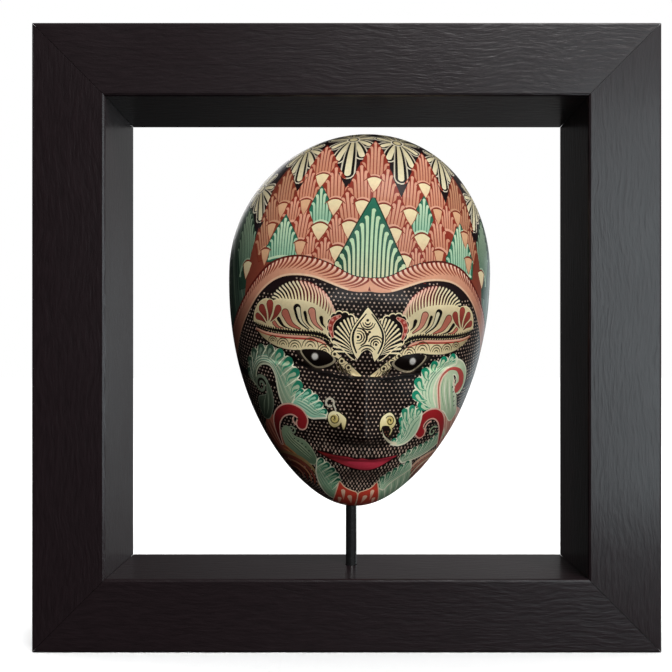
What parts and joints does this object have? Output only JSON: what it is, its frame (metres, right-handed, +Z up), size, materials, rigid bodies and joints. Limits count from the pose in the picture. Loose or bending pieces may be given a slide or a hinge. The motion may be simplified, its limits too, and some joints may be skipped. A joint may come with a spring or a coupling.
{
  "type": "topeng mask on a rod in a square display frame",
  "caption": "Carved wooden dance mask, hollow behind and painted in batik ornament, held by a rod through its chin inside a square box frame that stands on its lower edge.",
  "frame": {"origin": "middle of the frame's underside, on the surface that it stands on", "axes": "+X to the viewer's right, -Y towards the viewer, out of the mask's face, +Z up"},
  "size_m": [0.3, 0.0655, 0.3],
  "materials": {
    "frame_wood": "near-black stained wood under clear gloss lacquer, the grain in low relief",
    "rod_metal": "gloss black enamel",
    "mask_wood": "batik painting in black, cream, salmon, green and red under satin lacquer, with a plain dark stained hollow"
  },
  "bodies": {
    "root": {"rail_top": "frame_wood", "rail_bottom": "frame_wood", "rail_left": "frame_wood", "rail_right": "frame_wood", "rod": "rod_metal", "mask": "mask_wood"}
  },
  "joints": []
}
